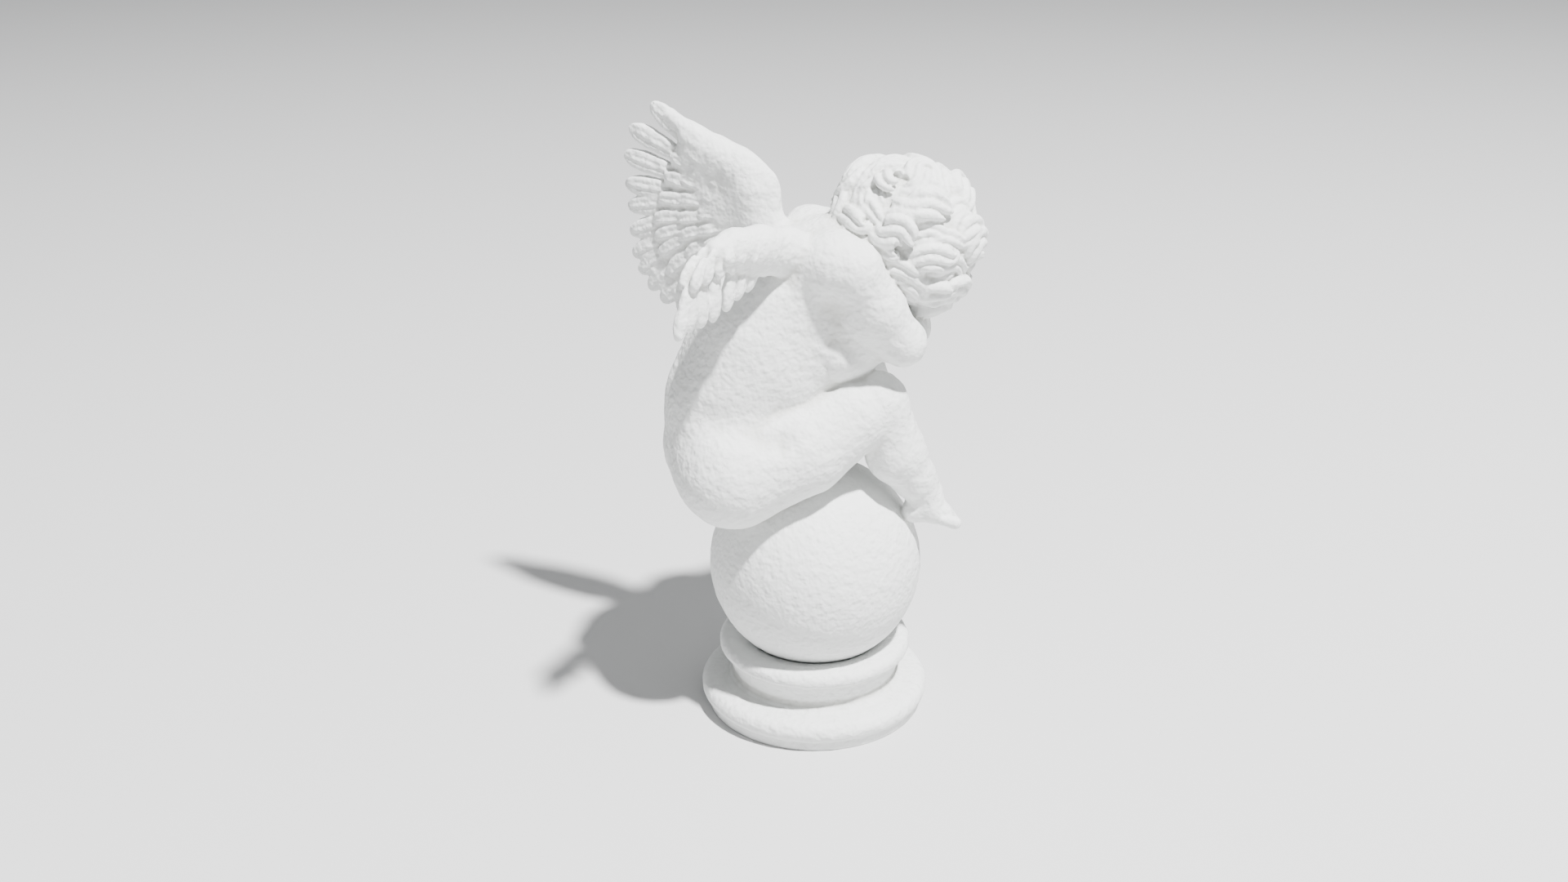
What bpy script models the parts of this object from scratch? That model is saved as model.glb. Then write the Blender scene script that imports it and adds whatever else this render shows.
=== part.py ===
"""A carved stone cherub asleep on a ball, over a round turned plinth.

The figure faces -Y, its left side is +X, and the plinth stands on z = 0. Lengths are metres.
The figure is laid out in units of FIGURE_HEIGHT / 272 from the top of the ball.
"""

from math import asin, cos, pi, radians, sin, sqrt

import bmesh
import bpy
import numpy as np
from mathutils import Matrix, Vector

# Turned plinth
DISC_DIAMETER = 0.203
DISC_SKIRT_HEIGHT = 0.008
DISC_LIP_THICKNESS = 0.018
RING_DIAMETER = 0.170
RING_HEIGHT = 0.0665
RING_LIP_THICKNESS = 0.0145
NECK_DIAMETER = 0.146
SEAT_DIAMETER = 0.120
SEAT_CLEARANCE = 0.0007
TURNED_STEPS = 44

# Carved statue
BALL_DIAMETER = 0.185
FIGURE_HEIGHT = 0.272
BALL_SEGMENTS = 44
BALL_RINGS = 24
FIGURE_TRIANGLES = 6100
ROUGH_VOXEL = 3.2
CARVED_VOXEL = 2.4

BALL_CENTRE = RING_HEIGHT + sqrt(BALL_DIAMETER**2 - SEAT_DIAMETER**2) / 2
BALL_TOP = BALL_CENTRE + BALL_DIAMETER / 2
UNIT = FIGURE_HEIGHT / 272

# The trunk: centre, radii and forward lean in degrees of each rounded mass
TRUNK = (
    ((0, 82, 20), (55, 47, 46), 0),
    ((0, 76, 66), (50, 53, 50), 8),
    ((0, 54, 118), (53, 53, 60), 24),
    ((0, 12, 160), (50, 38, 46), 46),
    ((0, 26, 92), (46, 44, 40), 30),
    ((0, -4, 128), (46, 34, 36), 40),
)
NECK = ((0, 12, 172, 30), (0, -34, 198, 28))
BUTTOCK = (36, 79, 12, 46)
THIGH = ((36, 74, 14, 43), (38, 20, 31, 39), (36, -24, 55, 31), (34, -43, 65, 26.5))
CALF = ((34, -45, 62, 25), (34, -62, 17, 25), (34, -78, -6, 18.5), (34, -90, -22, 14))
RIGHT_FOOT = ((-34, -88, -26, 14), (-34, -80, -37, 9.5), (-43, -99, -38, 9.5), (-50, -112, -42, 6.5))
LEFT_FOOT = ((34, -86, -26, 14), (34, -77, -36, 9.5), (48, -94, -38, 9.5), (58, -105, -42, 6.5))
UPPER_ARM = ((46, -4, 190, 25), (52, -16, 186, 23), (50, -40, 150, 21), (48, -58, 117, 20.5))
RIGHT_FOREARM = ((-48, -59, 117, 20), (-10, -76, 121, 17.5), (26, -82, 121, 12.5))
RIGHT_HAND = ((30, -82, 121, 11.5), (46, -80, 118, 10.5))
LEFT_FOREARM = ((48, -59, 117, 20), (8, -58, 110, 16.5), (-20, -60, 108, 12.5))
LEFT_HAND = ((-22, -60, 108, 11), (-36, -56, 106, 9.5))
FINGER_SPREAD = 5.6
FINGER_LENGTH = 19
FINGER_RADIUS = 4.1

# The head: its own axes point to the crown, the face and the left ear
HEAD_CENTRE = Vector((2, -74, 198))
CROWN = Vector((0, -0.95, 0.31)).normalized()
FACE = Vector((0.80, -0.18, -0.56)).normalized()
FACE = (FACE - FACE.dot(CROWN) * CROWN).normalized()
LEFT_EAR = CROWN.cross(FACE)
SKULL_RADII = (54, 56, 50)
HAIR_CAP = ((-5, 0, 4), (56, 60, 53))
HEAD_AXES = np.array((FACE, LEFT_EAR, CROWN))
BROW_WAY = np.array((FACE - 0.3 * CROWN).normalized())
# Face masses along (face, left ear, crown): centre and radii
FACE_MASSES = (
    ((33, 20, -21), (20, 19, 19)),
    ((33, -20, -21), (20, 19, 19)),
    ((41, 0, -43), (12, 13, 10)),
    ((42, 0, -27), (14, 16, 14)),
    ((46, 0, 16), (12, 28, 22)),
    ((49, 17, -1), (6, 9, 6)),
    ((49, -17, -1), (6, 9, 6)),
)
NOSE = ((52, 0, 3, 5), (59, 0, -12, 6.5))
LIPS = (((55, 0, -24.5), (5, 9, 3.2)), ((54, 0, -30), (5, 7.5, 3.4)))

# Locks of hair: rings around the crown, each with its angle from the crown and its number of locks
LOCK_RINGS = ((4, 6), (26, 10), (50, 14), (74, 17), (98, 17), (119, 15))
LOCK_SWEEP = 36
LOCK_WAVE = 15
LOCK_RADIUS = 8.6
LOCK_STATIONS = 7
FACE_OPENING = 52

# Wings: the arm and each row of feathers, as (out, up) from the wing's root
WING_ROOT = (18, 14, 194.5)
RAISED_TURN = 35
RAISED_ARM = (
    (-4, -8, 12), (16, -4, 12), (32, 12, 13), (38, 36, 13), (52, 53, 11), (72, 64, 9), (94, 75, 6.5),
)
RAISED_ROWS = (
    (62, 10.5, 0.0, (
        (131, 102, 38), (152, 81, 24), (158, 57, 14), (158, 32, 3), (156, 12, -9), (155, -11, -20),
        (153, -31, -29), (147, -46, -38), (138, -60, -46), (125, -71, -54), (109, -77, -62))),
    (50, 10.5, 4.0, (
        (104, 55, 24), (113, 39, 12), (122, 21, 0), (130, 3, -10), (129, -13, -22), (125, -27, -32),
        (117, -44, -42), (105, -56, -50), (92, -66, -60))),
    (40, 10.5, 7.5, (
        (78, 50, 22), (90, 34, 10), (98, 17, -3), (104, 0, -14), (104, -16, -25), (98, -32, -38),
        (88, -44, -48), (76, -54, -58))),
    (32, 10.0, 10.5, (
        (66, 30, 12), (74, 13, -4), (79, -4, -18), (76, -20, -32), (66, -33, -45), (54, -42, -56))),
)
RAISED_WEB = ((66, 12), (44, 42, 6))
LOWERED_TURN = -38
LOWERED_ARM = ((0, -3, 12), (24, 10, 13), (58, 21, 14), (90, 29, 12.5), (110, 27, 9.5))
LOWERED_ROWS = (
    (72, 7.2, 0.0, (
        (153, -37, -62), (147, -44, -66), (137, -42, -70), (125, -38, -72), (112, -34, -74),
        (99, -29, -75), (86, -24, -74))),
    (44, 8.2, 4.5, (
        (141, -4, -48), (133, -12, -58), (121, -12, -64), (108, -9, -68), (95, -7, -70),
        (82, -8, -72), (70, -12, -70), (58, -14, -62))),
    (34, 8.6, 8.0, (
        (128, 12, -38), (118, 6, -52), (105, 5, -60), (91, 5, -64), (77, 2, -66), (62, -4, -64),
        (47, -10, -56), (33, -12, -46))),
)
LOWERED_WEB = ((68, 8), (52, 20, 6))
FEATHER_THICKNESS = 4.2

MARBLE = (0.83, 0.84, 0.83, 1.0)


def material(name, colour, roughness):
    """A plain stone surface."""
    made = bpy.data.materials.new(name)
    made.use_nodes = True
    shader = made.node_tree.nodes["Principled BSDF"]
    shader.inputs["Base Color"].default_value = colour
    shader.inputs["Roughness"].default_value = roughness
    shader.inputs["Metallic"].default_value = 0.0
    return made


def collection(name, hidden=False):
    """A collection for finished pieces or for guides."""
    made = bpy.data.collections.new(name)
    made.hide_render = hidden
    bpy.context.scene.collection.children.link(made)
    return made


def ball_shape(segments, rings):
    """The corners and triangles of a unit ball with its poles on Z."""
    bm = bmesh.new()
    bmesh.ops.create_uvsphere(bm, u_segments=segments, v_segments=rings, radius=1)
    bmesh.ops.triangulate(bm, faces=bm.faces)
    bm.verts.index_update()
    corners = np.array([vert.co[:] for vert in bm.verts])
    faces = np.array([[vert.index for vert in face.verts] for face in bm.faces])
    bm.free()
    return corners, faces


class Heap:
    """Closed shapes that overlap, gathered as corners and triangles."""

    def __init__(self):
        self.corners, self.faces, self.count = [], [], 0

    def add(self, corners, faces):
        self.corners.append(corners)
        self.faces.append(faces + self.count)
        self.count += len(corners)

    def mesh(self, name):
        made = bpy.data.meshes.new(name)
        made.from_pydata(np.concatenate(self.corners), [], np.concatenate(self.faces))
        return made


def mirrored(stations):
    """The same stations on the figure's right side."""
    return tuple((-x, y, z, r) for x, y, z, r in stations)


def blend(first, second, reach):
    """Two distances joined with a fillet that spreads over reach."""
    overlap = np.clip(reach - np.abs(first - second), 0, None) / reach
    return np.minimum(first, second) - overlap**2 * reach / 4


class Bone:
    """A limb between two stations (x, y, z, radius)."""

    def __init__(self, start, end):
        self.start, self.end = Vector(start[:3]), Vector(end[:3])
        self.radii = start[3], end[3]

    def distance(self, points):
        start = np.array(self.start)
        axis = np.array(self.end) - start
        share = np.clip((points - start) @ axis / (axis @ axis), 0, 1)[:, None]
        radius = self.radii[0] + (self.radii[1] - self.radii[0]) * share[:, 0]
        return np.linalg.norm(points - start - share * axis, axis=1) - radius

    def add_to(self, heap, shape):
        corners, faces = shape
        turn = np.array((self.end - self.start).to_track_quat("Z", "Y").to_matrix())
        far = corners[:, 2:] > 0
        centres = np.where(far, np.array(self.end), np.array(self.start))
        radii = np.where(far, self.radii[1], self.radii[0])
        heap.add(corners @ turn.T * radii + centres, faces)


class Mass:
    """A rounded mass: an ellipsoid with its own axes."""

    def __init__(self, centre, radii, axes=Matrix.Identity(3)):
        self.centre, self.radii, self.axes = Vector(centre), radii, axes

    def distance(self, points):
        local = (points - np.array(self.centre)) @ np.array(self.axes)
        near = np.linalg.norm(local / self.radii, axis=1)
        steep = np.linalg.norm(local / np.square(self.radii), axis=1)
        return near * (near - 1) / np.maximum(steep, 1e-6)

    def add_to(self, heap, shape):
        corners, faces = shape
        heap.add((corners * self.radii) @ np.array(self.axes).T + np.array(self.centre), faces)


def bones(stations):
    """The limbs that join a row of stations."""
    return [Bone(start, end) for start, end in zip(stations, stations[1:])]


def group_distance(forms, reach, points):
    """The distance to several forms melted together."""
    total = forms[0].distance(points)
    for form in forms[1:]:
        total = blend(total, form.distance(points), reach)
    return total


def head_point(face, ear, crown):
    """A point given along the head's own axes."""
    return HEAD_CENTRE + face * FACE + ear * LEFT_EAR + crown * CROWN


def fingers(stations):
    """Four fingers that go on from the palm, side by side."""
    wrist, palm = Vector(stations[0][:3]), Vector(stations[1][:3])
    onward = (palm - wrist).normalized()
    across = onward.cross(Vector((0, 1, 0))).normalized()
    made = []
    for place in (-1.5, -0.5, 0.5, 1.5):
        knuckle = palm + across * place * FINGER_SPREAD + onward * 2
        length = FINGER_LENGTH * (1 - abs(place + 0.3) * 0.08)
        bent = knuckle + (onward * 0.75 + Vector((0, 0.65, 0))) * length
        made.append(Bone((*knuckle, FINGER_RADIUS), (*bent, FINGER_RADIUS * 0.85)))
    return made


def body_groups():
    """The figure's flesh: each group of forms with the reach of its fillets."""
    head_axes = Matrix((FACE, LEFT_EAR, CROWN)).transposed()
    trunk = [Mass(centre, radii, Matrix.Rotation(radians(lean), 3, "X")) for centre, radii, lean in TRUNK]
    groups = [(trunk + bones(NECK), 26)]
    for stations in (THIGH, (BUTTOCK, THIGH[0]), CALF):
        groups.append((bones(stations), 6))
        groups.append((bones(mirrored(stations)), 6))
    for stations in (RIGHT_FOOT, LEFT_FOOT):
        groups.append((bones(stations), 5))
    groups.append((bones(mirrored(UPPER_ARM)) + bones(RIGHT_FOREARM), 7))
    groups.append((bones(UPPER_ARM) + bones(LEFT_FOREARM), 7))
    for stations in (RIGHT_HAND, LEFT_HAND):
        groups.append((bones(stations) + fingers(stations), 2))
    face = [Mass(head_point(*centre), radii, head_axes) for centre, radii in FACE_MASSES]
    cap = Mass(head_point(*HAIR_CAP[0]), HAIR_CAP[1], head_axes)
    groups.append(([Mass(HEAD_CENTRE, SKULL_RADII, head_axes)] + face, 9))
    groups.append(([cap], 1))
    groups.append((bones([(*head_point(*end[:3]), end[3]) for end in NOSE]), 3))
    for centre, radii in LIPS:
        groups.append(([Mass(head_point(*centre), radii, head_axes)], 2))
    return groups


def body_distance(groups, points):
    """The distance to the whole figure."""
    total = None
    for forms, reach in groups:
        near = group_distance(forms, reach, points)
        total = near if total is None else blend(total, near, 6)
    return total


def apply_modifiers(obj):
    """Puts the modified mesh in place of the object's own."""
    graph = bpy.context.evaluated_depsgraph_get()
    mesh = bpy.data.meshes.new_from_object(obj.evaluated_get(graph))
    obj.modifiers.clear()
    obj.data = mesh


def fuse(obj, voxel):
    """Makes one skin round all the closed forms of the object."""
    remesh = obj.modifiers.new("Fuse", "REMESH")
    remesh.mode = "VOXEL"
    remesh.voxel_size = voxel
    apply_modifiers(obj)


def corners_and_triangles(mesh):
    """The corners and triangles of a mesh."""
    mesh.calc_loop_triangles()
    corners = np.empty(len(mesh.vertices) * 3)
    faces = np.empty(len(mesh.loop_triangles) * 3, dtype=int)
    mesh.vertices.foreach_get("co", corners)
    mesh.loop_triangles.foreach_get("vertices", faces)
    return corners.reshape(-1, 3), faces.reshape(-1, 3)


def melt(obj, groups, rounds=4):
    """Moves the skin onto the melted surface of its forms."""
    mesh = obj.data
    for _ in range(rounds):
        points = np.empty(len(mesh.vertices) * 3)
        normals = np.empty(len(mesh.vertices) * 3)
        mesh.vertices.foreach_get("co", points)
        mesh.vertex_normals.foreach_get("vector", normals)
        points, normals = points.reshape(-1, 3), normals.reshape(-1, 3)
        points -= normals * np.clip(body_distance(groups, points), -3, 3)[:, None] * 0.9
        mesh.vertices.foreach_set("co", points.ravel())
        mesh.update()


def lock_paths():
    """Each lock of hair as points from the crown outwards, the ways they face and its radius."""
    random = np.random.default_rng(7)
    shares = np.linspace(0, 1, LOCK_STATIONS)
    paths = []
    for ring, (start, count) in enumerate(LOCK_RINGS):
        for index in range(count):
            turn = 360 * (index + 0.5 * (ring % 2)) / count + random.uniform(-5, 5)
            wave = LOCK_WAVE * random.uniform(0.7, 1.2) * (1 if (index + ring) % 2 else -1)
            sweep = LOCK_SWEEP * random.uniform(0.85, 1.15)
            thick = LOCK_RADIUS * random.uniform(0.82, 1.12)
            fall = np.radians(start + sweep * shares)
            swing = np.radians(turn + wave * np.sin(2 * pi * shares) / np.maximum(np.sin(fall), 0.35))
            level = np.sin(fall)
            local = np.stack((-np.cos(swing) * level, np.sin(swing) * level, np.cos(fall)), 1)
            ways = local @ HEAD_AXES
            if (ways @ BROW_WAY).max() < cos(radians(FACE_OPENING)):
                lift = 4 + 5 * np.sin(pi * shares) + 3 * shares
                points = (local * SKULL_RADII) @ HEAD_AXES + np.array(HEAD_CENTRE) + ways * lift[:, None]
                paths.append((points, ways, thick))
    return paths


def spread(table, shares):
    """The rows of a table at the given shares of its length."""
    stations = np.linspace(0, 1, len(table))
    return np.stack([np.interp(shares, stations, column) for column in table.T], 1)


def add_lock(heap, shape, points, ways, thick):
    """A lock of hair: a ball stretched along its path, thickest in the middle."""
    corners, faces = shape
    shares = (corners[:, 2] + 1) / 2
    along = np.gradient(points, axis=0)
    along /= np.linalg.norm(along, axis=1)[:, None]
    across = np.cross(along, ways)
    across /= np.linalg.norm(across, axis=1)[:, None]
    girth = np.maximum(np.hypot(corners[:, 0], corners[:, 1]), 1e-6)
    fuller = (thick * girth**-0.25)[:, None]
    breadth = corners[:, :1] * spread(across, shares)
    height = corners[:, 1:2] * spread(ways, shares)
    heap.add(spread(points, shares) + fuller * (breadth + 0.8 * height), faces)


def add_feather(heap, shape, tip, angle, length, half_width, offset, frame):
    """A blade that ends in a round tip and narrows to its root."""
    corners, faces = shape
    along = corners[:, 2]
    girth = np.maximum(np.hypot(corners[:, 0], corners[:, 1]), 1e-6)
    fuller = np.sqrt(1 - np.abs(along) ** 3.2) * (0.62 + 0.38 * np.minimum(1, (along + 1) / 1.3)) / girth
    blade = np.stack((along * length / 2, corners[:, 0] * fuller * half_width,
                      corners[:, 1] * fuller * FEATHER_THICKNESS), 1)
    turn = np.array(Matrix.Rotation(radians(angle), 3, "Z"))
    middle = np.array((*tip, offset)) - turn @ (length / 2, 0, 0)
    placed = blade @ turn.T + middle
    heap.add(placed @ np.array(frame.to_3x3()).T + np.array(frame.translation), faces)


def wing_frame(side, turn):
    """The wing's own axes: out along the wing, up, and towards the side with the feather rows."""
    out = Vector((sin(radians(turn)), cos(radians(turn)), 0))
    up = Vector((0, 0, 1))
    frame = Matrix((out, up, up.cross(out))).transposed().to_4x4()
    frame.translation = Vector((side * WING_ROOT[0], WING_ROOT[1], WING_ROOT[2]))
    return frame


def add_wing(heap, frame, arm, web, rows):
    """The arm of a wing, the web behind it and the rows of feathers on both faces."""
    joints = [(*(frame @ Vector((out, up, 0))), radius) for out, up, radius in arm]
    joint = ball_shape(20, 12)
    for bone in bones(joints):
        bone.add_to(heap, joint)
    (out, up), radii = web
    Mass(frame @ Vector((out, up, 0)), radii, frame.to_3x3()).add_to(heap, joint)
    blade = ball_shape(10, 10)
    for length, half_width, offset, tips in rows:
        for layer in (offset, -offset * 0.75):
            for out, up, angle in tips:
                add_feather(heap, blade, (out, up), angle, length, half_width, layer, frame)


def carve_figure(home):
    """The figure with its hair and wings, as one closed skin."""
    groups = body_groups()
    flesh = Heap()
    round_shape = ball_shape(28, 16)
    for forms, _ in groups:
        for form in forms:
            form.add_to(flesh, round_shape)
    figure = bpy.data.objects.new("Figure", flesh.mesh("Figure"))
    home.objects.link(figure)
    fuse(figure, ROUGH_VOXEL)
    melt(figure, groups)
    carving = Heap()
    carving.add(*corners_and_triangles(figure.data))
    lock_shape = ball_shape(10, 12)
    for points, ways, thick in lock_paths():
        add_lock(carving, lock_shape, points, ways, thick)
    add_wing(carving, wing_frame(1, RAISED_TURN), RAISED_ARM, RAISED_WEB, RAISED_ROWS)
    add_wing(carving, wing_frame(-1, LOWERED_TURN), LOWERED_ARM, LOWERED_WEB, LOWERED_ROWS)
    figure.data = carving.mesh("Figure")
    fuse(figure, CARVED_VOXEL)
    decimate = figure.modifiers.new("Facets", "DECIMATE")
    decimate.ratio = FIGURE_TRIANGLES / (2 * len(figure.data.polygons))
    apply_modifiers(figure)
    figure.data.transform(Matrix.Translation((0, 0, BALL_TOP)) @ Matrix.Scale(UNIT, 4))
    return figure


def carve_statue(home, guides, stone):
    """The figure and its ball, carved as one."""
    figure = carve_figure(guides)
    bm = bmesh.new()
    bmesh.ops.create_uvsphere(bm, u_segments=BALL_SEGMENTS, v_segments=BALL_RINGS, radius=BALL_DIAMETER / 2,
                              matrix=Matrix.Translation((0, 0, BALL_CENTRE)))
    mesh = bpy.data.meshes.new("putto_on_globe")
    bm.to_mesh(mesh)
    bm.free()
    statue = bpy.data.objects.new("putto_on_globe", mesh)
    home.objects.link(statue)
    union = statue.modifiers.new("Figure", "BOOLEAN")
    union.operation = "UNION"
    union.solver = "EXACT"
    union.object = figure
    figure.display_type = "WIRE"
    figure.hide_render = True
    statue.data.materials.append(stone)
    statue.data.polygons.foreach_set("use_smooth", [True] * len(statue.data.polygons))
    return statue


def arc(centre, radius, start, end, steps):
    """Points (r, z) round part of a circle, with the angles in degrees above +X."""
    angles = (radians(start + (end - start) * step / steps) for step in range(steps + 1))
    return [(centre[0] + radius * cos(angle), centre[1] + radius * sin(angle)) for angle in angles]


def plinth_profile():
    """The turned outline, from the middle of the seat over the outside to the underside."""
    seat_radius = BALL_DIAMETER / 2 + SEAT_CLEARANCE
    seat_edge = asin(SEAT_DIAMETER / 2 / seat_radius)
    disc_lip, ring_lip = DISC_LIP_THICKNESS / 2, RING_LIP_THICKNESS / 2
    disc_middle = (DISC_DIAMETER / 2 - disc_lip, DISC_SKIRT_HEIGHT + disc_lip)
    ring_middle = (RING_DIAMETER / 2 - ring_lip, RING_HEIGHT - ring_lip)
    profile = arc((0, BALL_CENTRE), seat_radius, -90, -90 + np.degrees(seat_edge), 5)
    profile[0] = (0.0, profile[0][1])
    profile += arc(ring_middle, ring_lip, 80, -80, 4)
    profile += [(NECK_DIAMETER / 2, disc_middle[1] + disc_lip + 0.008)]
    profile += [(NECK_DIAMETER / 2 + 0.004, disc_middle[1] + disc_lip + 0.002)]
    profile += arc(disc_middle, disc_lip, 80, -60, 5)
    profile += [(DISC_DIAMETER / 2 - disc_lip * 0.6, 0.0), (0.0, 0.0)]
    return profile


def turn_plinth(home, stone):
    """The round plinth: a disc, a neck and a ring with a hollow seat for the ball."""
    profile = plinth_profile()
    mesh = bpy.data.meshes.new("turned_plinth")
    mesh.from_pydata([(r, 0, z) for r, z in profile], [(i, i + 1) for i in range(len(profile) - 1)], [])
    plinth = bpy.data.objects.new("turned_plinth", mesh)
    home.objects.link(plinth)
    screw = plinth.modifiers.new("Turn", "SCREW")
    screw.axis = "Z"
    screw.angle = 2 * pi
    screw.steps = screw.render_steps = TURNED_STEPS
    screw.use_merge_vertices = True
    screw.merge_threshold = 0.00005
    screw.use_smooth_shade = True
    plinth.data.materials.append(stone)
    return plinth


def main():
    for obj in list(bpy.data.objects):
        bpy.data.objects.remove(obj)
    statue_home = collection("stone_putto_statue")
    guides = collection("guides", hidden=True)
    carve_statue(statue_home, guides, material("CarvedStone", MARBLE, 0.75))
    turn_plinth(statue_home, material("TurnedStone", MARBLE, 0.75))


if __name__ == "__main__":
    main()
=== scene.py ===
"""A carved stone cherub asleep on a ball, over a round turned plinth, dressed for rendering.

The figure faces -Y, its left side is +X, and the plinth stands on z = 0. The figure is laid out from
the top of the ball, in parts of its own height, and is brought to metres when it is carved.
"""

from math import asin, cos, pi, radians, sin, sqrt

import bmesh
import bpy
import numpy as np
from mathutils import Matrix, Vector, noise


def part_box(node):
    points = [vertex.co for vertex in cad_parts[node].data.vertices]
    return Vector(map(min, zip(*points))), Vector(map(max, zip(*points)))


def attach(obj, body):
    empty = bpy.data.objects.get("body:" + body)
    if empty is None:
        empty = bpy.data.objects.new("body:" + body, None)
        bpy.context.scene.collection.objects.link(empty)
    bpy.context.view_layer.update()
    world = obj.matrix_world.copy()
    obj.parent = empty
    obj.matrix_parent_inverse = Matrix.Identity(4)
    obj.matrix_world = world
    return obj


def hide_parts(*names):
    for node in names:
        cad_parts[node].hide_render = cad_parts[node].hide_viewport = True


bl_info = {
    "name": "Stone Putto",
    "version": (1, 0, 0),
    "blender": (4, 5, 0),
    "location": "3D View > Sidebar > Putto",
    "description": "Carves a stone cherub on a ball over a turned plinth and sets it in a studio",
    "category": "Object",
}

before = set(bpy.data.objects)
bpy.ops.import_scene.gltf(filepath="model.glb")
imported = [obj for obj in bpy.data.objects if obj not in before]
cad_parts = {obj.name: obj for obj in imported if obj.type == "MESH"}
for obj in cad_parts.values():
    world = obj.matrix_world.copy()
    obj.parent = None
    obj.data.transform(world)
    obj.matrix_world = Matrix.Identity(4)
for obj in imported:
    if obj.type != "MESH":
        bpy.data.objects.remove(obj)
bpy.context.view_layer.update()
BALL_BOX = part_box("putto_on_globe")
PLINTH_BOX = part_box("turned_plinth")

# The photograph's viewing angle
VIEW_TARGET = Vector((0.0057, 0.0268, 0.2494))
VIEW_WAY = Vector((0.9037, -0.1921, -0.3827))
VIEW_DISTANCE = 1.4107
VIEW_HEIGHT_ANGLE = 30.0

# The figure is this many parts high, from the top of the ball to the top of the head
FIGURE_UNITS = 272

# The trunk: centre, radii and forward lean in degrees of each rounded mass
TRUNK = (
    ((0, 82, 20), (55, 47, 46), 0),
    ((0, 76, 66), (50, 53, 50), 8),
    ((0, 54, 118), (53, 53, 60), 24),
    ((0, 12, 160), (50, 38, 46), 46),
    ((0, 26, 92), (46, 44, 40), 30),
    ((0, -4, 128), (46, 34, 36), 40),
    ((0, -20, 112), (50, 34, 30), 30),
)
SHOULDER_BLADE = ((25, 44, 160), (17, 14, 24), 40)
# Stations (x, y, z, radius) of limbs and hollows, on the left side where both sides are alike
NECK = ((0, 12, 172, 30), (0, -34, 198, 28))
SPINE = ((0, 131, 30, 2), (0, 131, 70, 3), (0, 117, 118, 3.5), (0, 94, 152, 3.5), (0, 60, 184, 3))
WAIST_FOLD = ((70, 46, 52, 1), (67, 60, 56, 2), (62, 84, 65, 2), (48, 114, 70, 1))
ARM_CREASE = ((55, -2, 127, 1), (57, -26, 109, 1.5), (56, -44, 100, 1.5))
CLEFT = ((0, 131, 18, 3), (0, 128, -2, 4), (0, 118, -22, 5))
BUTTOCK = (36, 79, 12, 46)
THIGH = ((36, 74, 14, 45), (38, 20, 31, 39.5), (36, -24, 55, 31), (34, -43, 65, 26.5))
CALF = ((34, -45, 62, 25), (34, -62, 17, 25), (34, -78, -6, 18.5), (34, -90, -22, 14))
RIGHT_FOOT = ((-34, -88, -26, 14), (-34, -80, -37, 9.5), (-41, -97, -37, 9.5), (-44, -103, -39, 8.6))
LEFT_FOOT = ((34, -86, -26, 14), (34, -77, -36, 9.5), (46, -92, -37, 9.5), (49, -96, -39, 8.6))
UPPER_ARM = ((46, -4, 190, 25), (52, -16, 186, 23), (50, -38, 152, 22), (48, -60, 121, 18.5))
RIGHT_FOREARM = ((-48, -61, 121, 18), (-10, -76, 121, 17.5), (26, -82, 121, 12.5))
RIGHT_HAND = ((30, -82, 121, 11), (44, -80, 119, 10))
LEFT_FOREARM = ((48, -61, 120, 18.5), (14, -60, 112, 16.5), (-6, -64, 111, 12.5))
LEFT_HAND = ((-8, -64, 111, 11), (-19, -66, 111, 9.5))
# The fillets of each group of forms: their reach in the group, and where it joins the rest
FILLETS = {
    "trunk": (26, 6), "seat": (2, 18), "shoulder blade": (1, 14), "thigh": (3, 5), "calf": (6, 5),
    "foot": (7, 6), "upper arm": (7, 24), "forearm": (7, 7), "wing": (12, 9), "hand": (4, 5),
    "head": (10, 5), "eyelid": (1, 2.0), "nose": (4, 6), "nostril": (1, 3.0), "upper lip": (2.5, 2.2),
    "lower lip": (1, 2.2),
}
HAIRLINE_FILLET = 1.5
# The hollows, with the reach of their rounded edges
MIDDLE_HOLLOWS = ((SPINE, 9), (CLEFT, 6))
SIDE_HOLLOWS = ((WAIST_FOLD, 22), (ARM_CREASE, 16))
SOCKET_REACH = 7
# Fingers, and a thumb that is shorter and stouter
FINGER_PLACES = (-1.5, -0.5, 0.5, 1.5)
FINGER_SPREAD = 5.6
FINGER_LENGTH = 19
FINGER_RADIUS = 4.0
FINGERTIP_RADIUS = FINGER_RADIUS * 0.85
THUMB_SHARE = 0.62
THUMB_RADIUS = FINGER_RADIUS * 1.15
# Toes from the big one to the little one
TOE_RADII = (5.6, 4.4, 4.0, 3.7, 3.4)
TOE_LENGTHS = (10.5, 10, 9, 7.5, 6)
BIG_TOE_ASIDE = 7.6
TOE_SPACING = 4.1
TOE_DROP = 2.0

# The head: its own axes point to the face, the left ear and the crown
HEAD_CENTRE = Vector((2, -74, 198))
CROWN = Vector((0, -0.95, 0.31)).normalized()
FACE = Vector((0.80, -0.18, -0.56)).normalized()
FACE = (FACE - FACE.dot(CROWN) * CROWN).normalized()
LEFT_EAR = CROWN.cross(FACE)
HEAD_AXES = np.array((FACE, LEFT_EAR, CROWN))
BROW_WAY = np.array((FACE - 0.3 * CROWN).normalized())
SKULL_RADII = (54, 56, 50)
SKULL = ((0, 0, 0), SKULL_RADII)
HAIR_CAP = ((-5, 0, 4), (54, 58, 52))
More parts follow.
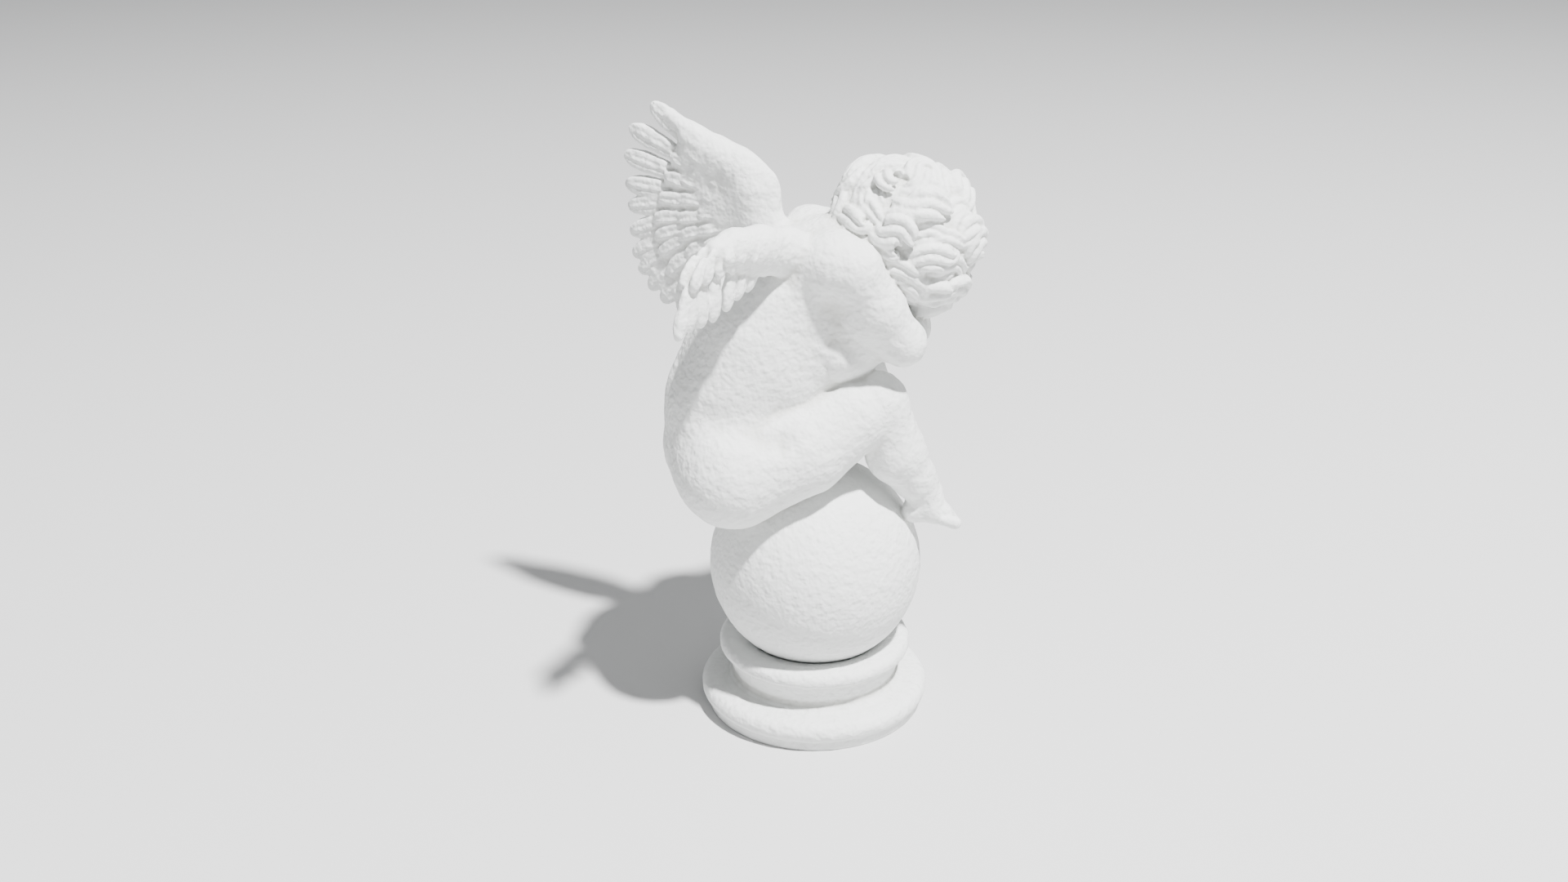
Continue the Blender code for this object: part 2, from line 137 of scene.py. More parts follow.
# Face masses along (face, left ear, crown): centre and radii
FACE_MASSES = (
    ((30, 19, -22), (21, 20, 20)),
    ((30, -19, -22), (21, 20, 20)),
    ((40, 0, -45), (11, 12, 9.5)),
    ((40, 0, -31), (14, 15, 12)),
    ((24, 0, -36), (26, 28, 18)),
)
EYE_SOCKETS = (((56, 18, 0), (9, 13, 8.5)), ((56, -18, 0), (9, 13, 8.5)))
EYE_LIDS = (((43, 18, -3), (8, 10.5, 7.6)), ((43, -18, -3), (8, 10.5, 7.6)))
NOSE = ((49, 0, 4, 4.6), (54, 0, -9, 4.8), (58.5, 0, -17, 5.4))
NOSTRILS = (((53.5, 5.8, -19), (5, 3.8, 3.8)), ((53.5, -5.8, -19), (5, 3.8, 3.8)))
LIPS = (
    ((54.0, 3.6, -28.6), (4.2, 5.4, 2.7)),
    ((54.0, -3.6, -28.6), (4.2, 5.4, 2.7)),
    ((53.2, 0, -34.2), (4.2, 7.0, 3.2)),
)
# Fine lines of the face along (left ear, crown)
LASH_LINE = ((9, -4.5), (12.5, -7.6), (18, -9.0), (23.5, -7.6), (28, -3.5))
LID_FOLD = ((9.5, 0.5), (14, 4.4), (19, 5.2), (24, 3.6), (28, 0))
BROW_LINE = ((8, 10), (17, 13.5), (28, 10.5))
MOUTH_LINE = ((-9.5, -30.8), (-4, -31.8), (0, -30.8), (4, -31.8), (9.5, -30.8))
# Width and depth of a line, which is raised where its depth is below zero
FINE_CUT = (1.0, 1.5)
SHALLOW_CUT = (1.0, 0.7)
BROW_RIDGE = (2.6, -0.9)
EYE_LINES = ((LASH_LINE, FINE_CUT), (LID_FOLD, SHALLOW_CUT), (BROW_LINE, BROW_RIDGE))
# Only the skin between these two depths along the way the face looks takes a line
FACE_BACK, FACE_FRONT = 34, 64

# Hair: locks that swirl round a whorl at the back of the head, in an under layer and an upper one.
# Each layer: rings of (degrees from the whorl, locks), height, strand radius and spacing, and the
# length and curl of a lock in degrees
WHORL = (-0.80, 0.52, 0.12)
HAIR_LAYERS = (
    (((7, 3), (23, 5), (39, 7), (55, 9), (71, 11), (87, 12), (103, 12), (119, 11), (135, 9),
      (152, 6)),
     4.6, 3.4, 6.4, 52, 60),
    (((14, 3), (34, 5), (54, 7), (73, 9), (92, 10), (111, 10), (130, 8), (149, 5)),
     9.2, 4.0, 7.6, 54, 230),
)
HAIR_SEED = 11
# A lock's heading away from straight down and the swing of its waves, in degrees
LOCK_HEADING = 66
LOCK_WAVE = 46
LOCK_STATIONS = 22
LOCK_ROOT_DEPTH = 6
LOCK_BELLY = 1.5
# Locks stop this many degrees from the middle of the brow, and shorter ones are left out
FACE_OPENING = 47
SHORTEST_LOCK = 0.4
STRAND_TAPER = 0.45
STRAND_TALLNESS = 1.3

# Wings, laid out from the root of each, with its turn in degrees from straight back. The arm has
# stations (out, up, radius), the shield under the small feathers has masses ((out, up), radii), and
# each row of feathers has a length, half a width, a distance from the middle of the wing and the
# tips as (out, up, angle)
WING_ROOT = (18, 14, 194.5)
RAISED_TURN = 35
RAISED_ARM = (
    (-4, -8, 12), (16, -4, 12), (33, 12, 12.5), (38, 36, 12.5),
    (52, 56, 11.5), (72, 66, 9.5), (92, 78, 7.5), (114, 94, 5.5),
)
RAISED_SHIELD = (((60, 38), (46, 30, 10.5)), ((52, 6), (40, 35, 10.5)), ((84, 60), (27, 17, 8.5)))
RAISED_ROWS = (
    (62, 9.4, 0.0, (
        (131, 102, 38), (152, 81, 24), (158, 57, 14), (158, 32, 3), (156, 12, -9), (155, -11, -20),
        (153, -31, -29), (147, -46, -38), (138, -60, -46), (125, -71, -54), (109, -77, -62))),
    (50, 9.4, 3.8, (
        (113, 60, 26), (119, 42, 14), (125, 22, 1), (130, 3, -10), (129, -13, -22), (125, -27, -32),
        (117, -44, -42), (105, -56, -50), (92, -66, -60))),
    (38, 8.8, 5.6, (
        (96, 58, 26), (103, 42, 14), (106, 24, 2), (107, 6, -10), (105, -10, -22), (99, -26, -34),
        (91, -40, -46), (80, -51, -56), (66, -57, -64))),
    (30, 8.2, 7.0, (
        (78, 46, 22), (84, 30, 10), (87, 13, -4), (87, -3, -16), (82, -18, -30), (74, -31, -42),
        (62, -40, -54), (49, -45, -64))),
    (24, 7.6, 8.2, (
        (92, 64, 22), (79, 55, 24), (67, 43, 20), (61, 29, 8), (58, 15, -4), (54, 2, -16),
        (47, -11, -30))),
)
LOWERED_TURN = -38
LOWERED_ARM = ((0, -3, 12), (24, 8, 13), (58, 17, 12.5), (86, 23, 10), (107, 24, 7))
LOWERED_SHIELD = (((30, 4), (26, 16, 9)), ((62, 10), (26, 17, 9)), ((92, 17), (22, 12, 7)))
LOWERED_ROWS = (
    (46, 6.8, 0.0, (
        (151, -38, -72), (139, -34, -82), (125, -34, -87), (112, -33, -84), (97, -28, -76),
        (85, -22, -71), (73, -18, -66))),
    (28, 6.8, 4.6, (
        (139, -1, -58), (125, 1, -68), (109, 2, -76), (94, 2, -76))),
    (34, 7.6, 4.0, (
        (84, 0, -66), (71, -5, -62), (58, -8, -60), (45, -10, -58), (32, -12, -54), (20, -11, -48))),
    (15, 6.4, 9.6, (
        (104, 12, -76), (91, 10, -70), (78, 8, -66), (65, 5, -64), (52, 2, -62), (39, -1, -58))),
)
FEATHER_THICKNESS = 4.0
FEATHER_ROLL = 13
# A feather's outline and relief, as shares of its own length, width and thickness
FEATHER_BLUNTNESS = 3.2
FEATHER_ROOT, FEATHER_SWELL, FEATHER_NARROWING = 0.62, 0.38, 1.3
SHAFT_RISE, SHAFT_WIDTH = 0.30, 0.14
GROOVE_DEPTH, GROOVE_PLACE = 0.22, 0.36

# Plinth: heights and widths of its turned outline, in metres
RING_TOP = PLINTH_BOX[1][2]
DISC_RADIUS = PLINTH_BOX[1][0]
RING_RADIUS = 0.085
RING_LIP = 0.0145
DISC_LIP = 0.018
SKIRT_HEIGHT = 0.008
NECK_RADIUS = 0.073
SEAT_RADIUS = 0.060
SEAT_CLEARANCE = 0.0007
# The cove from neck to disc: (beyond the neck's radius, above the disc)
COVE = ((0.0015, 0.0115), (0, 0.008), (0.0008, 0.005), (0.004, 0.002), (0.010, 0.0006))
# The skirt under the disc: (share of the disc's lip inwards, height)
SKIRT = ((0.3, SKIRT_HEIGHT * 0.35), (0.32, 0.0008), (0.36, 0.0))
UNDERSIDE_RADIUS = DISC_RADIUS * 0.6
LONGEST_EDGE = 0.004
TURNED_STEPS = 160
# The plinth isn't worn below this height, nor this close to its seat
SHARP_HEIGHT = 0.001
SEAT_MARGIN = 0.002

# Fineness: steps round and along each kind of form, and the voxels, in parts of the figure
FORM_STEPS = (40, 24)
BLADE_STEPS = (40, 26)
STRAND_STEPS = (14, 30)
BALL_STEPS = (160, 100)
FLESH_VOXEL = 1.7
CARVED_VOXEL = 1.05
MOST_TRIANGLES = 192000
# Melting: how often the skin moves, how far at most, and how much of the way
MELT_ROUNDS = 4
MELT_STEP = 3
MELT_SHARE = 0.9

# Wear: its depth and spacing, in parts of the figure and in metres
FIGURE_WEAR = (0.45, 7)
PLINTH_WEAR = (0.0004, 0.009)
# A hollow of this depth in metres takes the most painted shade
RECESS_DEPTH = 0.0012
RECESS_ROUNDS = 14

# Stone: scale and detail of each of its patterns
STONE_CLOUD = (14, 4)
STONE_SKIN = (165, 1)
STONE_GRAIN = (1200, 2)
STONE_PATCHES = (55, 2)
STONE_PITS = (420, 1)
# Where each pattern starts to show and where it shows in full
CLOUD_EDGE = (0.35, 0.70)
PATCH_EDGE = (0.44, 0.64)
PIT_EDGE = (0.60, 0.74)
# How much of each shows
CLOUD_SHADE = 0.93
CLOUD_SHARE = 0.5
GRAIN_DUST = 0.10
PIT_DUST = 0.16
# Painted shade in the hollows, towards the dust colour
PAINTED_RECESS_SHADE = 0.75
GRAIN_HEIGHT = 0.05
PIT_HEIGHT = 0.12
ROUGHNESS_LOW, ROUGHNESS_RANGE = 0.74, 0.12

# Studio: name, place, width and share of the key light's power of each lamp
LAMPS = (
    ("key", (-2.02, -1.10, 5.01), 0.32, 1.0),
    ("top", (0.5, -0.4, 4.5), 3.0, 0.04),
)
SKY_COLOUR = (0.95, 0.98, 1.0, 1)
FLOOR_RADIUS = 12
FLOOR_ROUGHNESS = 0.9


class PuttoSettings(bpy.types.PropertyGroup):
    """Sizes and colours of the statue."""

    ball_diameter: bpy.props.FloatProperty(
        name="Ball Diameter", description="Width of the ball the cherub sits on",
        default=0.185, unit="LENGTH")
    figure_height: bpy.props.FloatProperty(
        name="Figure Height", description="Height of the cherub's head above the ball",
        default=0.272, unit="LENGTH")
    stone_colour: bpy.props.FloatVectorProperty(
        name="Stone Colour", description="Colour of the clean stone",
        size=4, subtype="COLOR", min=0, max=1, default=(0.80, 0.81, 0.80, 1.0))
    # The dust in the grain and pits and the painted shade in the hollows both take this colour
    dust_and_shade_colour: bpy.props.FloatVectorProperty(
        name="Dust And Shade Colour", description="Colour of the dust that stays in the hollows",
        size=4, subtype="COLOR", min=0, max=1, default=(0.56, 0.56, 0.53, 1.0))
    pit_depth: bpy.props.FloatProperty(
        name="Pit Depth", description="How deep the pitted skin of the stone is",
        default=0.0019, unit="LENGTH")


class StudioSettings(bpy.types.PropertyGroup):
    """Floor and light of the studio."""

    floor_colour: bpy.props.FloatVectorProperty(
        name="Floor Colour", description="Colour of the plain floor",
        size=4, subtype="COLOR", min=0, max=1, default=(0.62, 0.62, 0.62, 1.0))
    key_power: bpy.props.FloatProperty(
        name="Key Light", description="Power of the main light", default=1200.0, unit="POWER")
    sky_strength: bpy.props.FloatProperty(
        name="Fill Light", description="Strength of the even light from all round",
        default=0.32)


class Socket:
    """A shader value that can be used in sums."""

    def __init__(self, shader, socket):
        self.shader, self.socket = shader, socket

    def sum(self, operation, other, swap=False):
        first, second = (other, self) if swap else (self, other)
        return self.shader.node("ShaderNodeMath", {"operation": operation}, {0: first, 1: second})

    def __add__(self, other):
        return self.sum("ADD", other)

    def __sub__(self, other):
        return self.sum("SUBTRACT", other)

    def __rsub__(self, other):
        return self.sum("SUBTRACT", other, swap=True)

    def __mul__(self, other):
        return self.sum("MULTIPLY", other)

    __radd__ = __add__
    __rmul__ = __mul__


class Shader:
    """The nodes of one material."""

    def __init__(self, name):
        self.material = bpy.data.materials.new(name)
        self.material.use_nodes = True
        self.nodes = self.material.node_tree.nodes
        self.links = self.material.node_tree.links
        self.surface = self.nodes["Principled BSDF"]

    def put(self, target, value):
        if isinstance(value, Socket):
            self.links.new(value.socket, target)
        else:
            target.default_value = value

    def node(self, kind, settings, sockets, output=0):
        made = self.nodes.new(kind)
        for key, value in settings.items():
            if key == "stops":
                while len(made.color_ramp.elements) < len(value):
                    made.color_ramp.elements.new(0.5)
                for element, (place, colour) in zip(made.color_ramp.elements, value):
                    element.position = place
                    element.color = colour
            else:
                setattr(made, key, value)
        for key, value in sockets.items():
            self.put(made.inputs[key], value)
        return Socket(self, made.outputs[output])

    def noise(self, place, scale, detail):
        """A cloudy value between 0 and 1."""
        sockets = {"Vector": place, "Scale": scale, "Detail": detail}
        return self.node("ShaderNodeTexNoise", {}, sockets, "Fac")

    def ramp(self, value, low, high):
        """A grey that is black where the value is low and white where it is high."""
        stops = ((low, (0, 0, 0, 1)), (high, (1, 1, 1, 1)))
        return self.node("ShaderNodeValToRGB", {"stops": stops}, {"Fac": value})

    def mix(self, factor, first, second):
        """One colour over another."""
        sockets = {"Factor": factor, "A": first, "B": second}
        return self.node("ShaderNodeMix", {"data_type": "RGBA"}, sockets, "Result")

    def finish(self, **sockets):
        for name, value in sockets.items():
            self.put(self.surface.inputs[name.replace("_", " ")], value)
        return self.material


def pitted_stone(name, settings):
    """Pale cast stone: an uneven skin with fine pits in patches, a little dust in its grain and pits,
    and painted shade in the hollows.
    """
    clean, dust_and_shade = tuple(settings.stone_colour), tuple(settings.dust_and_shade_colour)
    stone = Shader(name)
    place = stone.node("ShaderNodeTexCoord", {}, {}, "Object")
    cloud = stone.noise(place, *STONE_CLOUD)
    skin = stone.noise(place, *STONE_SKIN)
    grain = stone.noise(place, *STONE_GRAIN)
    patches = stone.ramp(stone.noise(place, *STONE_PATCHES), *PATCH_EDGE)
    pits = stone.ramp(stone.noise(place, *STONE_PITS), *PIT_EDGE) * patches
    recess = stone.node("ShaderNodeAttribute", {"attribute_name": "recess"}, {}, "Fac")
    shaded = tuple(CLOUD_SHADE * part for part in clean[:3]) + (1.0,)
    body = stone.mix(stone.ramp(cloud, *CLOUD_EDGE) * CLOUD_SHARE, clean, shaded)
    speckled = stone.mix((1 - grain) * GRAIN_DUST + pits * PIT_DUST, body, dust_and_shade)
    # Painted shade: the hollows are darkened towards the dust colour by how deep they lie
    painted_hollow_shade = stone.mix(recess * PAINTED_RECESS_SHADE, speckled, dust_and_shade)
    height = skin + grain * GRAIN_HEIGHT - pits * PIT_HEIGHT
    relief = {"Strength": 1.0, "Distance": settings.pit_depth, "Height": height}
    bump = stone.node("ShaderNodeBump", {}, relief, "Normal")
    roughness = cloud * ROUGHNESS_RANGE + ROUGHNESS_LOW
    return stone.finish(Base_Color=painted_hollow_shade, Roughness=roughness, Normal=bump)


def ball_shape(segments, rings):
    """The corners and triangles of a unit ball with its poles on Z."""
    bm = bmesh.new()
    bmesh.ops.create_uvsphere(bm, u_segments=segments, v_segments=rings, radius=1)
    bmesh.ops.triangulate(bm, faces=bm.faces)
    bm.verts.index_update()
    corners = np.array([vert.co[:] for vert in bm.verts])
    faces = np.array([[vert.index for vert in face.verts] for face in bm.faces])
    bm.free()
    return corners, faces


class Heap:
    """Closed shapes that overlap, gathered as corners and triangles."""

    def __init__(self):
        self.corners, self.faces, self.count = [], [], 0

    def add(self, corners, faces):
        self.corners.append(corners)
        self.faces.append(faces + self.count)
        self.count += len(corners)

    def mesh(self, name):
        made = bpy.data.meshes.new(name)
        made.from_pydata(np.concatenate(self.corners), [], np.concatenate(self.faces))
        return made


def mirrored(stations):
    """The same stations on the figure's right side."""
    return tuple((-x, y, z, r) for x, y, z, r in stations)


def blend(first, second, reach):
    """Two distances joined with a fillet that spreads over reach."""
    overlap = np.clip(reach - np.abs(first - second), 0, None) / reach
    return np.minimum(first, second) - overlap**2 * reach / 4


class Bone:
    """A limb between two stations (x, y, z, radius)."""

    def __init__(self, start, end):
        self.start, self.end = Vector(start[:3]), Vector(end[:3])
        self.radii = start[3], end[3]

    def distance(self, points):
        start = np.array(self.start)
        axis = np.array(self.end) - start
        share = np.clip((points - start) @ axis / (axis @ axis), 0, 1)[:, None]
        radius = self.radii[0] + (self.radii[1] - self.radii[0]) * share[:, 0]
        return np.linalg.norm(points - start - share * axis, axis=1) - radius

    def add_to(self, heap, shape):
        corners, faces = shape
        turn = np.array((self.end - self.start).to_track_quat("Z", "Y").to_matrix())
        far = corners[:, 2:] > 0
        centres = np.where(far, np.array(self.end), np.array(self.start))
        radii = np.where(far, self.radii[1], self.radii[0])
        heap.add(corners @ turn.T * radii + centres, faces)


class Mass:
    """A rounded mass: an ellipsoid with its own axes."""

    def __init__(self, centre, radii, axes=Matrix.Identity(3)):
        self.centre, self.radii, self.axes = Vector(centre), radii, axes

    def distance(self, points):
        local = (points - np.array(self.centre)) @ np.array(self.axes)
        near = np.linalg.norm(local / self.radii, axis=1)
        steep = np.linalg.norm(local / np.square(self.radii), axis=1)
        return near * (near - 1) / np.maximum(steep, 1e-6)

    def add_to(self, heap, shape):
        corners, faces = shape
        heap.add((corners * self.radii) @ np.array(self.axes).T + np.array(self.centre), faces)


def bones(stations):
    """The limbs that join a row of stations."""
    return [Bone(start, end) for start, end in zip(stations, stations[1:])]


def group_distance(forms, reach, points):
    """The distance to several forms melted together."""
    total = forms[0].distance(points)
    for form in forms[1:]:
        total = blend(total, form.distance(points), reach)
    return total


def head_point(face, ear, crown):
    """A point given along the head's own axes."""
    return HEAD_CENTRE + face * FACE + ear * LEFT_EAR + crown * CROWN


def head_masses(table):
    """Rounded masses laid out along the head's own axes."""
    axes = Matrix((FACE, LEFT_EAR, CROWN)).transposed()
    return [Mass(head_point(*centre), radii, axes) for centre, radii in table]


def fingers(hand):
    """Four fingers that go on from the palm, and a thumb beside it."""
    wrist, palm = Vector(hand[0][:3]), Vector(hand[1][:3])
    onward = (palm - wrist).normalized()
    across = (Vector((0, 0, 1)) - onward * onward.z).normalized()
    made = []
    for place in FINGER_PLACES:
        length = FINGER_LENGTH * (1 - abs(place + 0.3) * 0.08)
        knuckle = palm + across * place * FINGER_SPREAD + onward * 2
        joint = knuckle + (onward + Vector((0, 0.25, 0))) * length * 0.5
        tip = joint + (onward * 0.35 + Vector((0, 0.75, 0))) * length * 0.5
        made += bones(((*knuckle, FINGER_RADIUS), (*joint, FINGER_RADIUS), (*tip, FINGERTIP_RADIUS)))
    thumb = palm + across * FINGER_SPREAD * 2 - onward * 6
    end = thumb + (onward * 0.8 + across * 0.35).normalized() * FINGER_LENGTH * THUMB_SHARE
    return made + [Bone((*thumb, THUMB_RADIUS), (*end, FINGER_RADIUS))]


def toes(foot, side):
    """Five toes at the end of a foot, the big one on the inner side."""
    heel, ball = Vector(foot[1][:3]), Vector(foot[3][:3])
    onward = (ball - heel).normalized()
    inner = Vector((0, 0, 1)).cross(onward).normalized() * side
    made = []
    for index, (radius, length) in enumerate(zip(TOE_RADII, TOE_LENGTHS)):
        root = ball + inner * (BIG_TOE_ASIDE - index * TOE_SPACING) - Vector((0, 0, TOE_DROP))
        tip = root + onward * length + Vector((0, 0, -1.0))
        made.append(Bone((*root, radius * 0.9), (*tip, radius)))
    return made


def leaning_mass(centre, radii, lean):
    """A rounded mass that leans forward by some degrees."""
    return Mass(centre, radii, Matrix.Rotation(radians(lean), 3, "X"))


def body_groups():
    """The figure's flesh: groups of forms, each with its fillets."""
    trunk = [leaning_mass(*row) for row in TRUNK]
    seat = bones((BUTTOCK, THIGH[0])) + bones(mirrored((BUTTOCK, THIGH[0])))
    groups = [(trunk + bones(NECK), *FILLETS["trunk"]), (seat, *FILLETS["seat"])]
    centre, radii, lean = SHOULDER_BLADE
    for side in (1, -1):
        blade = leaning_mass((side * centre[0], *centre[1:]), radii, lean)
        groups.append(([blade], *FILLETS["shoulder blade"]))
    for name, stations in (
        ("thigh", THIGH), ("thigh", mirrored(THIGH)), ("calf", CALF), ("calf", mirrored(CALF)),
        ("foot", RIGHT_FOOT), ("foot", LEFT_FOOT), ("upper arm", mirrored(UPPER_ARM)),
        ("forearm", RIGHT_FOREARM), ("upper arm", UPPER_ARM), ("forearm", LEFT_FOREARM),
    ):
        groups.append((bones(stations), *FILLETS[name]))
    for wing, arm, shield in (
        (wing_frame(1, RAISED_TURN), RAISED_ARM, RAISED_SHIELD),
        (wing_frame(-1, LOWERED_TURN), LOWERED_ARM, LOWERED_SHIELD),
    ):
        axes = wing.to_3x3()
        joints = [(*(wing @ Vector((out, up, 0))), radius) for out, up, radius in arm]
        plates = [Mass(wing @ Vector((*centre, 0)), radii, axes) for centre, radii in shield]
        groups.append((bones(joints) + plates, *FILLETS["wing"]))
    for stations in (RIGHT_HAND, LEFT_HAND):
        groups.append((bones(stations), *FILLETS["hand"]))
    groups.append((head_masses((SKULL, *FACE_MASSES)), *FILLETS["head"]))
    return groups


def hollowed(total, cut, reach):
    """A distance with another form taken away from it."""
    return -blend(-total, cut, reach)


def body_distance(groups, details, points):
    """The distance to the whole figure."""
    total = None
    for forms, reach, join in groups:
        near = group_distance(forms, reach, points)
        total = near if total is None else blend(total, near, join)
    hollows, features, cap = details
    for forms, reach in hollows:
        total = hollowed(total, group_distance(forms, 1, points), reach)
    for forms, reach, join in features:
        total = blend(total, group_distance(forms, reach, points), join)
    return blend(total, cap.distance(points), HAIRLINE_FILLET)


def details_of_figure():
    """The hollows of the figure, the forms of its face, and the cap under its hair."""
    nose = bones([(*head_point(*end[:3]), end[3]) for end in NOSE])
    features = [([lid], *FILLETS["eyelid"]) for lid in head_masses(EYE_LIDS)]
    features.append((nose, *FILLETS["nose"]))
    features += [([wing], *FILLETS["nostril"]) for wing in head_masses(NOSTRILS)]
    features.append((head_masses(LIPS[:2]), *FILLETS["upper lip"]))
    features.append((head_masses(LIPS[2:]), *FILLETS["lower lip"]))
    hollows = [([socket], SOCKET_REACH) for socket in head_masses(EYE_SOCKETS)]
    hollows += [(bones(line), reach) for line, reach in MIDDLE_HOLLOWS]
    for line, reach in SIDE_HOLLOWS:
        hollows += [(bones(side), reach) for side in (line, mirrored(line))]
    return hollows, features, head_masses((HAIR_CAP,))[0]


def apply_modifiers(obj):
    """Puts the modified mesh in place of the object's own."""
    graph = bpy.context.evaluated_depsgraph_get()
    mesh = bpy.data.meshes.new_from_object(obj.evaluated_get(graph))
    obj.modifiers.clear()
    obj.data = mesh


def fuse(obj, voxel):
    """Makes one skin round all the closed forms of the object."""
    remesh = obj.modifiers.new("Fuse", "REMESH")
    remesh.mode = "VOXEL"
    remesh.voxel_size = voxel
    apply_modifiers(obj)


def corners_and_normals(mesh):
    """The corners of a mesh and the way each one faces."""
    corners = np.empty(len(mesh.vertices) * 3)
    normals = np.empty(len(mesh.vertices) * 3)
    mesh.vertices.foreach_get("co", corners)
    mesh.vertex_normals.foreach_get("vector", normals)
    return corners.reshape(-1, 3), normals.reshape(-1, 3)


def corners_and_triangles(mesh):
    """The corners and triangles of a mesh."""
    mesh.calc_loop_triangles()
    corners = np.empty(len(mesh.vertices) * 3)
    faces = np.empty(len(mesh.loop_triangles) * 3, dtype=int)
    mesh.vertices.foreach_get("co", corners)
    mesh.loop_triangles.foreach_get("vertices", faces)
    return corners.reshape(-1, 3), faces.reshape(-1, 3)


def set_corners(mesh, corners):
    """Moves the corners of a mesh."""
    mesh.vertices.foreach_set("co", corners.ravel())
    mesh.update()


def melt(mesh, groups, details):
    """Moves the skin onto the melted surface of its forms."""
    for _ in range(MELT_ROUNDS):
        corners, normals = corners_and_normals(mesh)
        distance = body_distance(groups, details, corners)
        step = np.clip(distance, -MELT_STEP, MELT_STEP)[:, None]
        set_corners(mesh, corners - normals * step * MELT_SHARE)


def engrave(mesh, line, width, depth):
    """Cuts a line into the face, or raises it where its depth is below zero."""
    corners, normals = corners_and_normals(mesh)
    front, ear, crown = ((corners - np.array(HEAD_CENTRE)) @ HEAD_AXES.T).T
    flat = np.stack((ear, crown, np.zeros_like(ear)), 1)
    near = np.full(len(corners), np.inf)
    for start, end in zip(line, line[1:]):
        near = np.minimum(near, Bone((*start, 0, 0), (*end, 0, 0)).distance(flat))
    cut = depth * np.exp(-((near / width) ** 2)) * (front > FACE_BACK) * (front < FACE_FRONT)
    set_corners(mesh, corners - normals * cut[:, None])


def lock_paths(rings, height, length, curl):
    """Each lock of hair: points that curl round the whorl, the way out at each, and its girth."""
    random = np.random.default_rng(HAIR_SEED)
    pole = Vector(WHORL).normalized()
    east = pole.cross(Vector((0, 0, 1))).normalized()
    axes = np.array((east, pole.cross(east), pole))
    shares = np.linspace(0, 1, LOCK_STATIONS)
    paths = []
    for start, count in rings:
        first = random.uniform(0, 360)
        for index in range(count):
            fall = radians(start + random.uniform(-8, 8))
            swing = radians(first + 360 * index / count + random.uniform(-12, 12))
            step = radians(length / LOCK_STATIONS * random.uniform(0.7, 1.25))
            wave = LOCK_WAVE * random.uniform(0.5, 1.3)
            phase = random.uniform(-0.9, 0.9)
            hook = curl * random.uniform(0.4, 1.1) * random.choice((-1, 1, 1))
            heading = LOCK_HEADING + random.uniform(-20, 20)
            high = height + random.uniform(-4.0, 1.2)
            local = []
            for share in shares:
                local.append((cos(swing) * sin(fall), sin(swing) * sin(fall), cos(fall)))
                way = radians(heading + wave * sin(2.2 * pi * share + phase) + hook * share**4)
                fall += cos(way) * step
                swing += sin(way) * step / max(sin(fall), 0.3)
            local = np.array(local) @ axes
            ways = local @ HEAD_AXES
            shown = ways @ BROW_WAY < cos(radians(FACE_OPENING))
            kept = LOCK_STATIONS if shown.all() else int(np.argmin(shown))
            if kept > LOCK_STATIONS * SHORTEST_LOCK:
                lift = high - LOCK_ROOT_DEPTH * (1 - shares) ** 2.5 + LOCK_BELLY * np.sin(pi * shares)
                points = (local * SKULL_RADII) @ HEAD_AXES + np.array(HEAD_CENTRE)
                points += ways * lift[:, None]
                stout = 1.15 + 0.1 * (high - height)
                paths.append((points[:kept], ways[:kept], stout))
    return paths


def spread(table, shares):
    """The rows of a table at the given shares of its length."""
    stations = np.linspace(0, 1, len(table))
    return np.stack([np.interp(shares, stations, column) for column in table.T], 1)


def add_lock(heap, shape, points, ways, radius, spacing):
    """A lock of hair: three strands that meet at the tip, each a ball stretched along its path."""
    corners, faces = shape
    shares = (corners[:, 2] + 1) / 2
    along = np.gradient(points, axis=0)
    along /= np.linalg.norm(along, axis=1)[:, None]
    across = np.cross(along, ways)
    across /= np.linalg.norm(across, axis=1)[:, None]
    girth = np.maximum(np.hypot(corners[:, 0], corners[:, 1]), 1e-6)
    length = np.linspace(0, 1, len(points))
    fuller = (radius * girth**-0.25 * (1.2 - STRAND_TAPER * shares))[:, None]
    for place in (-1, 0, 1):
        aside = place * spacing * np.sin(pi * (0.18 + 0.74 * length))
        proud = 1.4 * (place == 0) - 1.2 * abs(place) * np.cos(2 * pi * length + place)
        path = points + across * aside[:, None] + ways * proud[:, None]
        reach = shares * (1 - 0.11 * (place + 1))
        breadth = corners[:, :1] * spread(across, reach)
        height = corners[:, 1:2] * spread(ways, reach)
        heap.add(spread(path, reach) + fuller * (breadth + STRAND_TALLNESS * height), faces)


def add_feather(heap, shape, tip, length, half_width, offset, roll, frame_of_wing):
    """A blade with a raised shaft, a round tip at (out, up, angle) and a narrow root."""
    corners, faces = shape
    along = corners[:, 2]
    girth = np.maximum(np.hypot(corners[:, 0], corners[:, 1]), 1e-6)
    across = corners[:, 0] / girth
    swelling = FEATHER_ROOT + FEATHER_SWELL * np.minimum(1, (along + 1) / FEATHER_NARROWING)
    fuller = np.sqrt(1 - np.abs(along) ** FEATHER_BLUNTNESS) * swelling / girth
    shaft = np.exp(-((across / SHAFT_WIDTH) ** 2))
    groove = np.exp(-(((np.abs(across) - GROOVE_PLACE) / SHAFT_WIDTH) ** 2))
    relief = 1 + SHAFT_RISE * shaft - GROOVE_DEPTH * groove
    blade = np.stack((along * length / 2, corners[:, 0] * fuller * half_width,
                      corners[:, 1] * fuller * FEATHER_THICKNESS * relief), 1)
    out, up, angle = tip
    lean = np.array(Matrix.Rotation(radians(roll), 3, "X"))
    turn = np.array(Matrix.Rotation(radians(angle), 3, "Z"))
    middle = np.array((out, up, offset)) - turn @ (length / 2, 0, 0)
    placed = (blade @ lean.T @ turn.T + middle) @ np.array(frame_of_wing.to_3x3()).T
    heap.add(placed + np.array(frame_of_wing.translation), faces)


